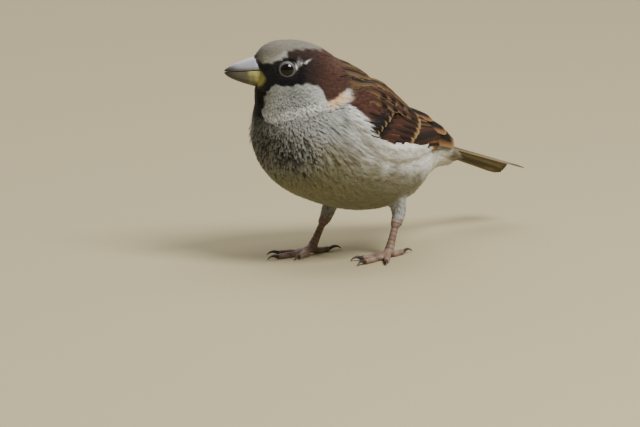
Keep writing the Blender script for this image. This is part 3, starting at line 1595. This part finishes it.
    def regions(self, roots: Array) -> dict[Tract, Array]:
        """Parts the roots among the regions of the body.

        Args:
            roots: Where all feathers stand.

        Returns:
            For each region, which roots are its own.
        """
        local = HEAD.local(roots)
        along, angle = round_trunk(roots)
        legs = np.zeros(len(roots), dtype=bool)
        for side in SIDES:
            legs |= (leg_gap(roots, side) < 4.6) & (roots[:, 2] < 23.0)
        rest = ~legs
        found: dict[Tract, Array] = {Tract("legs", 5, 0.18, 0.1): legs}
        steps = (
            (Tract("face", 4, 0.20), gap_to(roots, BILL_ROOT) < 13.0),
            (Tract("head", 5, 0.18), (local[:, 2] > -10.0) & (local[:, 1] > -15.0)),
            (
                Tract("tufts", 10, 0.09, 1.0, 0.25, 0.0, 0.17, 0.25, 1.08, 0.34, 0.22),
                (along > -27.0) & (along < -9.0) & (angle > 59.0) & (angle < 100.0),
            ),
            (Tract("breast", 8, 0.15, 0.15, contrast=0.13, stretch=0.74), (along < -14.0) & (angle > 50.0)),
            (Tract("mantle", 8, 0.15, 0.1, streaked=0.3, contrast=0.12), (angle <= 64.0) & (along < 13.0)),
            (Tract("rump", 9, 0.15, 0.1, streaked=0.06, contrast=0.1), (angle <= 64.0)),
            (Tract("belly", 9, 0.15, 0.25, contrast=0.12), angle > 116.0),
            (Tract("flank", 10, 0.13, 0.5, 0.15, contrast=0.1, sunk=0.5), angle > 0.0),
        )
        for tract, where in steps:
            found[tract] = rest & where
            rest = rest & ~where
        return found

    def build(self) -> None:
        """Grows the whole coat, piece by piece, each side of a region by itself."""
        roots = self.roots()
        for tract, mine in self.regions(roots).items():
            middle = HEAD.local(roots)[:, 0] if tract.name in ("face", "head") else roots[:, 0]
            for side, where in (("left", middle >= 0.0), ("right", middle < 0.0)):
                self.grow(tract, f"coat_{tract.name}_{side}", roots[mine & where])


def hash_name(name: str) -> int:
    """Makes the same number from a name on every run."""
    total = 0
    for letter in name:
        total = (total * 31 + ord(letter)) % 2147483647
    return total


# ---- quills


@dataclass(frozen=True)
class Dress:
    """The colours of one kind of quill.

    Attributes:
        centre: Along the shaft.
        edge: Along both edges.
        tip: At the end.
        edge_from: Where across the web the edge colour starts, 0 to 1.
        tip_from: Where along the feather the tip colour starts.
        streak: How dark a line runs along the shaft.
        fringe: At the very edge, if it differs.
        fringe_from: Where across the web the fringe starts.
        skew: How far the centre colour lies over to the upper web.
    """

    centre: Hue
    edge: Hue
    tip: Hue
    edge_from: float
    tip_from: float
    streak: float = 0.3
    fringe: Hue | None = None
    fringe_from: float = 0.84
    skew: float = 0.0


class Pattern(Enum):
    """How the kinds of quills and coverts are marked."""

    PRIMARY = Dress(Hue.QUILL, Hue.COVERT, Hue.QUILL, 0.66, 0.99)
    SECONDARY = Dress(Hue.QUILL, Hue.RUFOUS, Hue.QUILL, 0.36, 0.97)
    TERTIAL = Dress(Hue.STREAK, Hue.RUFOUS, Hue.BUFF, 0.56, 0.965, fringe=Hue.BUFF, fringe_from=0.9)
    GREATER = Dress(Hue.STREAK, Hue.COVERT, Hue.BUFF, 0.3, 0.91, fringe=Hue.MANTLE, fringe_from=0.9)
    MEDIAN = Dress(Hue.STREAK, Hue.STREAK, Hue.BUFF, 0.8, 0.93)
    SCAPULAR = Dress(Hue.STREAK, Hue.MANTLE, Hue.MANTLE, 0.4, 0.95, 0.1, Hue.BUFF, 0.78, 0.35)
    SHOULDER = Dress(Hue.COVERT, Hue.MANTLE, Hue.STREAK, 0.55, 0.8, 0.3, Hue.BUFF, 0.88, 0.2)
    TAIL = Dress(Hue.TAIL, Hue.TAIL_EDGE, Hue.TAIL, 0.6, 0.98)


# Half width of the raised shaft, as a share of the web.
SHAFT = 0.1


@dataclass(frozen=True)
class Vane:
    """The outline and relief of a firm feather.

    Attributes:
        rows: How many rows of faces run along it.
        roundness: How much of its length the rounded tip takes.
        base: Its width at the root as a share.
        ragged: How far its edge breaks up, as a share of the half width.
    """

    rows: int = 18
    roundness: float = 0.2
    base: float = 0.45
    ragged: float = 0.05

    ACROSS = (-1.0, -0.72, -0.4, -0.07, 0.07, 0.4, 0.72, 1.0)

    def shape(self, rng: Rng) -> tuple[Array, Array, Array, Array]:
        """Works out one feather's corners.

        Args:
            rng: Where its raggedness comes from.

        Returns:
            Places along, places across in half widths, places across its web, and faces.
        """
        share = np.linspace(0.0, 1.0, self.rows + 1)
        along = share ** 0.85
        swell = self.base + (1.0 - self.base) * np.clip(along / 0.45, 0.0, 1.0) ** 0.7
        past = np.clip((along - (1.0 - self.roundness)) / self.roundness, 0.0, 1.0)
        half = swell * np.sqrt(np.maximum(1.0 - past ** 2.2, 0.0004))
        web = np.array(self.ACROSS)
        across = half[:, None] * web[None, :]
        tear = rng.uniform(-1.0, 0.3, (len(along), 2)) * self.ragged
        across[:, 0] *= 1.0 + tear[:, 0]
        across[:, -1] *= 1.0 + tear[:, 1]
        columns = len(web)
        first = np.arange(self.rows)[:, None] * columns + np.arange(columns - 1)
        faces = first.reshape(-1, 1) + np.array([0, 1, columns + 1, columns])
        return np.repeat(along, columns), across.ravel(), np.tile(web, len(along)), faces


@dataclass(frozen=True)
class Row:
    """A row of like feathers on the side of the trunk.

    Attributes:
        pattern: How they are marked.
        roots: Line of (along, angle) that the roots follow, lowest feather first.
        tips: Line that the tips follow.
        count: How many there are.
        outer: Half width of the web on the lower side.
        inner: Half width of the web on the upper side.
        level: Depth of the lowest feather's root and tip under the outside.
        step: How much higher each next feather lies.
        vane: Its outline.
        bow: How far the first and the last feather bow downwards, in degrees.
        perk: How far its end stands up, in millimetres.
    """

    pattern: Pattern
    roots: Line
    tips: Line
    count: int
    outer: float
    inner: float
    level: Pair
    step: float = 0.06
    vane: Vane = Vane()
    bow: Pair = (0.0, 0.0)
    perk: float = 0.0

    def line(self, places: Line) -> Array:
        """Spreads the row's feathers evenly along a line of places."""
        knots = np.array(places, dtype=float)
        order = np.arange(len(knots))
        share = np.linspace(0.0, len(knots) - 1.0, self.count)
        return np.stack([np.interp(share, order, knots[:, part]) for part in range(2)], axis=1)


def quill_colours(dress: Dress, along: Array, web: Array, rng: Rng) -> Array:
    """Colours one quill by place along it and across its web."""
    colour = np.broadcast_to(dress.centre.light, (len(along), 3)).copy()
    start = dress.edge_from + rng.uniform(-0.05, 0.05)
    edge = ease(start - 0.12, start + 0.14, np.abs(web + dress.skew) + 0.18 * (along - 0.6))
    colour = lay(colour, dress.edge, edge * ease(0.1, 0.4, along))
    tip = ease(dress.tip_from - 0.03, dress.tip_from + 0.04, along + 0.03 * np.abs(web))
    colour = lay(colour, dress.tip, tip)
    if dress.fringe:
        margin = np.maximum(np.abs(web) * ease(0.2, 0.5, along), (along - 0.86) / 0.14)
        fringe = ease(dress.fringe_from - 0.06, dress.fringe_from + 0.1, margin) * rng.uniform(0.2, 0.95)
        colour = lay(colour, dress.fringe, fringe)
    shaft = ease(0.12, 0.04, np.abs(web)) * dress.streak * (1.0 - tip)
    colour = lay(colour, Hue.STREAK, shaft)
    return np.clip(colour * rng.normal(1.0, 0.07), 0.0, 1.0)


@dataclass
class Quills:
    """Lays firm feathers and gathers them into one piece, each with its own cell of the bake map."""

    name: str
    cells: int
    gathered: Gathered = field(default_factory=Gathered)
    used: int = 0

    def __post_init__(self) -> None:
        """Seeds the piece's own irregularities."""
        self.rng = np.random.default_rng(hash_name(self.name))

    def lay(self, points: Array, faces: Array, along: Array, web: Array, dress: Dress) -> None:
        """Adds one feather.

        Args:
            points: Its corners.
            faces: Its faces.
            along: Each corner's place along it.
            web: Each corner's place across it.
            dress: Its colours.
        """
        side = math.ceil(math.sqrt(self.cells))
        cell = np.array([self.used % side, self.used // side]) / side
        vane = np.stack([web / 2.0 + 0.5, along], axis=1)
        self.gathered.add(
            points, faces, np.empty((0, 3), dtype=int), quill_colours(dress, along, web, self.rng),
            vane, cell + (vane * 0.9 + 0.05) / side,
        )
        self.used += 1

    def finish(self, *nodes: str) -> None:
        """Makes the piece and says which nodes it stands for."""
        hand_in(self.gathered.piece(self.name, Finishes.QUILLS), "flight_feathers", *nodes)


@dataclass
class Wings:
    """Both folded wings with their scapulars.

    Attributes:
        rows: The rows of the wing, deepest first.
        shoulder: The rows of scapulars, which lie over the wing's upper edge.
    """

    rows: tuple[Row, ...] = (
        Row(
            Pattern.PRIMARY, ((-10, 88), (-14, 82)),
            ((51.3, 20), (52.2, 17), (50.5, 22), (48, 28), (45, 35), (42, 42), (39, 48), (36, 53), (33, 57)),
            9, 1.5, 3.0, (-1.7, -0.7), 0.06, Vane(roundness=0.14, ragged=0.02), (30.0, 8.0), 0.9,
        ),
        Row(
            Pattern.SECONDARY, ((-8, 82), (0, 56)), ((34, 68), (32, 60), (30, 50), (28, 44)),
            6, 2.0, 3.4, (-1.1, -0.55), 0.05, Vane(roundness=0.12, ragged=0.02), (6.0, 2.0), 0.9,
        ),
        Row(
            Pattern.TERTIAL, ((4, 67), (3, 46)), ((48, 42), (42, 34), (34, 27)),
            3, 4.1, 3.4, (-0.6, -0.15), 0.1, Vane(roundness=0.2, ragged=0.04), (5.0, 0.0), 1.7,
        ),
        Row(
            Pattern.GREATER, ((-13, 90), (-9, 72), (1, 46)),
            (
                (-1, 92), (4, 87), (8, 81.5), (11.5, 76), (14.5, 70), (17, 64), (19.5, 58), (21, 52),
                (21.5, 46),
            ),
            10, 2.0, 2.7, (-1.7, -0.12), 0.04, Vane(roundness=0.26, ragged=0.07),
        ),
        Row(
            Pattern.MEDIAN, ((-17, 78), (-14, 64), (-7, 46)),
            ((-8.5, 78), (-6.5, 72.5), (-3.5, 67), (-1, 62), (1.5, 56), (3.5, 50)),
            7, 2.0, 2.4, (-1.3, -0.04), 0.03, Vane(rows=12, roundness=0.4, ragged=0.12),
        ),
    )
    shoulder: tuple[Row, ...] = tuple(
        Row(pattern, roots, tips, count, outer, 1.9, level, 0.08, Vane(rows=16, roundness=0.4, ragged=ragged))
        for pattern, roots, tips, count, outer, level, ragged in (
            (Pattern.SHOULDER, ((-2, 50), (-18, 43)), ((14, 59), (-3, 56)), 4, 1.7, (-1.4, 0.12), 0.22),
            (Pattern.SHOULDER, ((2, 42), (-18, 35)), ((19, 51), (-2, 48)), 5, 1.7, (-1.2, 0.14), 0.22),
            (Pattern.SCAPULAR, ((4, 34), (-19, 27)), ((20, 43), (-5, 39)), 6, 1.8, (-0.5, 0.14), 0.24),
            (Pattern.SCAPULAR, ((2, 25), (-19, 20)), ((18, 33), (-6, 29)), 6, 1.8, (-0.5, 0.14), 0.24),
            (Pattern.SCAPULAR, ((0, 16), (-19, 12)), ((16, 22), (-6, 19)), 6, 1.8, (-0.5, 0.12), 0.24),
            (Pattern.SCAPULAR, ((-1, 7), (-19, 5)), ((14, 10), (-6, 8)), 6, 1.8, (-0.5, 0.1), 0.24),
        )
    )

    def build(self) -> None:
        """Builds both wings and both shoulders."""
        folded = Chart(("wing_left", "primaries_left"))
        whole = Chart(("head", "neck", "trunk", "wing_left", "primaries_left", "tail"))
        for side in SIDES:
            for name, rows, chart, nodes in (
                ("wing_quills", self.rows, folded, (f"primaries_{side}",)),
                ("scapulars", self.shoulder, whole, ()),
            ):
                quills = Quills(f"{name}_{side}", sum(row.count for row in rows))
                for row in rows:
                    self._row(quills, row, chart, MIRROR[side])
                quills.finish(*nodes)

    @staticmethod
    def _row(quills: Quills, row: Row, chart: Chart, mirror: float) -> None:
        """Lays one row's feathers on the chart, mirrored for the right side."""
        roots, tips = row.line(row.roots), row.line(row.tips)
        for number, (root, tip) in enumerate(zip(roots, tips)):
            along, across, web, faces = row.vane.shape(quills.rng)
            tip = tip + quills.rng.uniform(-0.25, 0.25, 2) * (1.0, 1.5)
            bow = np.interp(number / (row.count - 1), [0.0, 1.0], row.bow)
            where = root[0] + (tip[0] - root[0]) * along
            angle = root[1] + (tip[1] - root[1]) * along + 4.0 * bow * along * (1.0 - along)
            radius = chart.reach(where, angle)
            slope = np.radians(tip[1] - root[1] + 4.0 * bow * (1.0 - 2.0 * along)) * radius
            run = np.hypot(slope, tip[0] - root[0])
            width = across * np.where(across < 0.0, row.inner, row.outer)
            where = where - slope / run * width
            angle = angle + np.degrees((tip[0] - root[0]) / run * width / radius)
            level = row.level[0] + (row.level[1] - row.level[0]) * ease(0, 0.75, along) + row.step * number
            level = level - 0.16 * np.abs(web) ** 2 + 0.07 * (np.abs(web) < SHAFT)
            level = level + row.perk * ease(0.45, 1, along)
            points = chart.place(where, angle, level) * np.array([mirror, 1.0, 1.0])
            quills.lay(points, faces if mirror > 0 else faces[:, ::-1], along, web, row.pattern.value)


@dataclass
class TailFan:
    """The closed tail: six pairs of quills, the middle pair on top.

    Attributes:
        length: From the root to the corners.
        pairs: How many pairs there are.
        root: How far apart the outer quills start.
        corner: How far out the outermost shaft ends.
        notch: How much shorter the middle pair is.
        drop: How far the sides hang lower than the middle.
        tilt: How far the left edge stands higher than the right, over the width.
    """

    length: float = 48.6
    pairs: int = 6
    root: float = 2.2
    corner: float = 4.4
    notch: float = 2.2
    drop: float = 1.6
    tilt: float = 0.14

    # Where the shafts start along the tail, and how high the middle pair lies there.
    START = -7.0
    TOP = 2.6

    def build(self) -> None:
        """Builds the tail's one piece."""
        quills = Quills("tail_quills", 2 * self.pairs)
        for pair in reversed(range(self.pairs)):
            share = pair / (self.pairs - 1)
            for mirror in (1.0, -1.0):
                along, across, web, faces = Vane(22, 0.12, 0.35, 0.03).shape(quills.rng)
                reach = self.length - self.notch * (1.0 - share) ** 1.5 + quills.rng.uniform(-0.4, 0.2)
                start = 0.5 + self.root * share
                shaft = start + (0.7 + self.corner * share - start) * along
                outer, inner = 1.3 + 0.8 * (1.0 - share), 3.2
                x = shaft + across * np.where(across > 0.0, outer, inner)
                y = self.START + (reach - self.START) * along
                stack = (-0.18 * pair - 0.05 * (mirror < 0)) * (0.4 + 0.6 * (1.0 - along))
                z = self.TOP + stack - self.drop * (np.abs(x) / 5.6) ** 1.7 - 0.12 * web ** 2
                z = z + 0.06 * (np.abs(web) < SHAFT) - 0.7 * along
                z = z + self.tilt * x * mirror * (0.3 + 0.7 * along)
                points = TAIL.place(np.stack([x * mirror, y, z], axis=1))
                quills.lay(points, faces if mirror < 0 else faces[:, ::-1], along, web, Pattern.TAIL.value)
        quills.finish("tail")


# ---- bill, eyes, claws


@dataclass
class Bill:
    """The two halves of the bill, rounded from their solids.

    Attributes:
        voxel: The size of their faces.
        tuck: How far its foot reaches back under the skin.
    """

    voxel: float = 0.17
    tuck: float = 1.4

    # Where the lower half's dark keel starts, as (ahead, up).
    KEEL = ((10.0, -6.4), (22.8, -2.9))

    def _colours(self, points: Array, upper: bool) -> Array:
        """Colours one half by height and by distance from the face."""
        local = HEAD.local(points)
        ahead, up = local[:, 1], local[:, 2]
        colour = Hue.BILL_LOW.over(points)
        if upper:
            colour = lay(colour, Hue.BILL_TOP, ease(-2.6, -0.9, up + 0.1 * wobble(points, 2.0, 4)))
        else:
            yellow = ease(16.4, 13.2, ahead + 0.5 * wobble(points, 3.0, 6))
            colour = lay(colour, Markings.gape(points), yellow)
            keel = up - loop_height(self.KEEL, ahead)
            colour = lay(colour, Hue.BILL_TIP, ease(-0.2, -1.4, keel) * 0.6)
        return lay(colour, Hue.BILL_TIP, ease(17.5, 22.2, ahead) * 0.85)

    def build(self) -> None:
        """Builds both halves."""
        for half in ("upper", "lower"):
            node = f"bill_{half}"
            mesh = rounded_union(f"horn_{node}", (node,), self.voxel, 0.05, 3)
            points = mesh_points(mesh)
            tuck = self.tuck * ease(13.2, 12.5, HEAD.local(points)[:, 1])
            points = points - HEAD.aim(np.array([0.0, 1.0, 0.0])) * tuck[:, None]
            move_points(mesh, points)
            hand_in(dress(mesh, self._colours(points, half == "upper"), Finishes.BILL), "bill", node)


@dataclass
class Eyes:
    """Both eyeballs: a dark iris round a black pupil, under a wet clear front.

    Attributes:
        skin: The skin that they look out of.
        pupil: Half angle of the pupil, in degrees.
        iris: Half angle of the iris.
    """

    skin: Skin
    pupil: float = 21.0
    iris: float = 48.0

    def build(self) -> None:
        """Builds both eyeballs."""
        for side in SIDES:
            axes = self.skin.eye_axes(side)
            work = bmesh.new()
            turn = Matrix([axes.along, axes.up, axes.side]).transposed().to_4x4()
            place = Matrix.Translation(Vector(axes.origin) * MM) @ turn
            radius = Skin.EYE_RADIUS * MM
            bmesh.ops.create_uvsphere(work, u_segments=64, v_segments=40, radius=radius, matrix=place)
            bmesh.ops.recalc_face_normals(work, faces=work.faces)
            mesh = closed(work, f"eyeball_{side}")
            local = axes.local(mesh_points(mesh))
            angle = np.degrees(np.arccos(np.clip(local[:, 0] / Skin.EYE_RADIUS, -1.0, 1.0)))
            colour = Hue.BLACK.over(local) * 0.35
            colour = lay(colour, Hue.IRIS, ease(self.pupil, self.pupil + 3.0, angle))
            colour = lay(colour, Hue.BLACK, ease(self.iris - 8.0, self.iris, angle) * 0.8)
            hand_in(dress(mesh, colour, Finishes.EYE), "eye", f"eye_{side}")


@dataclass
class Claws:
    """The claws of each foot, rounded from their solids into one piece."""

    voxel: float = 0.13

    def build(self) -> None:
        """Builds both feet's claws."""
        for side in SIDES:
            nodes = tuple(f"claw_{side}_{toe}" for toe in TOES)
            mesh = rounded_union(f"claws_{side}", nodes, self.voxel, 0.03, 3)
            points = mesh_points(mesh)
            tone = 0.3 * ease(0.4, 1, wobble(points, 2.5, 12))
            tone = lay(Hue.CLAW.over(points), Hue.LEG, tone)
            hand_in(dress(mesh, tone, Finishes.CLAWS), "claw", *nodes)


# ---- studio


@dataclass(frozen=True)
class Lamp:
    """A soft square lamp.

    Attributes:
        name: Its name.
        towards: The direction from the bird to the lamp.
        distance: How far away it hangs, in metres.
        size: The length of its side in metres.
        power: Its power in watts.
        tint: Its colour.
    """

    name: str
    towards: Place
    distance: float
    size: float
    power: float
    tint: Place = (1.0, 0.98, 0.95)

    def build(self, target: Vector) -> None:
        """Hangs the lamp, aimed at the target."""
        data = bpy.data.lights.new(self.name, "AREA")
        data.energy = self.power
        data.size = self.size
        data.color = self.tint
        lamp = bpy.data.objects.new(self.name, data)
        way = Vector(self.towards).normalized()
        lamp.location = target + way * self.distance
        lamp.rotation_euler = (-way).to_track_quat("-Z", "Y").to_euler()
        bpy.context.scene.collection.objects.link(lamp)


@dataclass
class Studio:
    """Floor, lamps and camera.

    Attributes:
        azimuth: Direction of the view round the bird, in degrees.
        elevation: Height of the view over the floor, in degrees.
        span: Width of the picture at the bird, in millimetres.
        anchor: A place on the bird, in millimetres.
        anchor_pixel: Where that place shows in the picture.
        picture: Size of the picture in pixels.
        distance: From the camera to the bird, in metres.
    """

    azimuth: float = 41.0
    elevation: float = 10.0
    span: float = 640 / 3.05
    anchor: Place = (0.0, -22.6, 36.0)
    anchor_pixel: Pair = (340.0, 150.0)
    picture: tuple[int, int] = (640, 427)
    distance: float = 3.2
    lamps: tuple[Lamp, ...] = (
        Lamp("key", (0.64, -0.10, 0.76), 1.3, 0.5, 30.0),
        Lamp("overhead", (-0.1, 0.25, 1.0), 1.6, 1.6, 26.0),
        Lamp("rim", (-0.75, 0.35, 0.55), 1.6, 0.8, 6.0),
    )

    def build(self) -> None:
        """Builds the studio."""
        self._floor()
        target = Vector((0.0, 0.0, 0.036))
        for lamp in self.lamps:
            lamp.build(target)
        self._camera()

    @staticmethod
    def _floor() -> None:
        """Lays the pale floor and lights the surroundings with its colour."""
        work = bmesh.new()
        bmesh.ops.create_circle(work, cap_ends=True, segments=96, radius=30.0)
        mesh = closed(work, "floor")
        material = bpy.data.materials.new("pale_floor")
        material.use_nodes = True
        shader = material.node_tree.nodes["Principled BSDF"]
        shader.inputs["Base Color"].default_value = (*Hue.FLOOR.light, 1.0)
        shader.inputs["Roughness"].default_value = 0.9
        mesh.materials.append(material)
        show("floor", mesh)
        world = bpy.data.worlds.new("room")
        world.use_nodes = True
        sky = world.node_tree.nodes["Background"]
        sky.inputs["Color"].default_value = (0.74, 0.70, 0.60, 1.0)
        sky.inputs["Strength"].default_value = 0.34
        bpy.context.scene.world = world

    def _camera(self) -> None:
        """Sets the camera so that the anchor shows at its pixel."""
        a, e = math.radians(self.azimuth), math.radians(self.elevation)
        right = Vector((math.cos(a), math.sin(a), 0.0))
        up = Vector((-math.sin(a) * math.sin(e), math.cos(a) * math.sin(e), math.cos(e)))
        back = Vector((math.sin(a) * math.cos(e), -math.cos(a) * math.cos(e), math.sin(e)))
        scale = self.span / self.picture[0]
        middle = Vector(self.anchor)
        middle += right * ((self.picture[0] / 2 - self.anchor_pixel[0]) * scale)
        middle += up * ((self.anchor_pixel[1] - self.picture[1] / 2) * scale)
        data = bpy.data.cameras.new("camera")
        data.sensor_width = 36.0
        data.lens = 36.0 * self.distance / (self.span * MM)
        data.clip_start, data.clip_end = 0.05, 60.0
        camera = bpy.data.objects.new("camera", data)
        camera.location = middle * MM + back * self.distance
        camera.rotation_euler = (-back).to_track_quat("-Z", "Y").to_euler()
        bpy.context.scene.collection.objects.link(camera)
        bpy.context.scene.camera = camera


def main() -> None:
    """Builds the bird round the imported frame, piece by piece."""
    logging.basicConfig(level=logging.INFO, format="%(relativeCreated)6d ms %(message)s")
    NODES.update(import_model()["nodes"])
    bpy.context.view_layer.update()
    Studio().build()
    markings = Markings()
    skin = Skin(markings)
    body = skin.build()
    whole = [f"{part}_{side}" for side in SIDES for part in ("wing", "primaries", "tibia", "eye")]
    form = Form(FLESH[:3] + (*whole, "tail", "bill_upper", "bill_lower"))
    LOG.info("form: %d corners", len(form.points))
    Coat(form, Lie(), markings, BakePlaces(body)).build()
    Wings().build()
    TailFan().build()
    Bill().build()
    Eyes(skin).build()
    Claws().build()


if __name__ == "__main__":
    main()
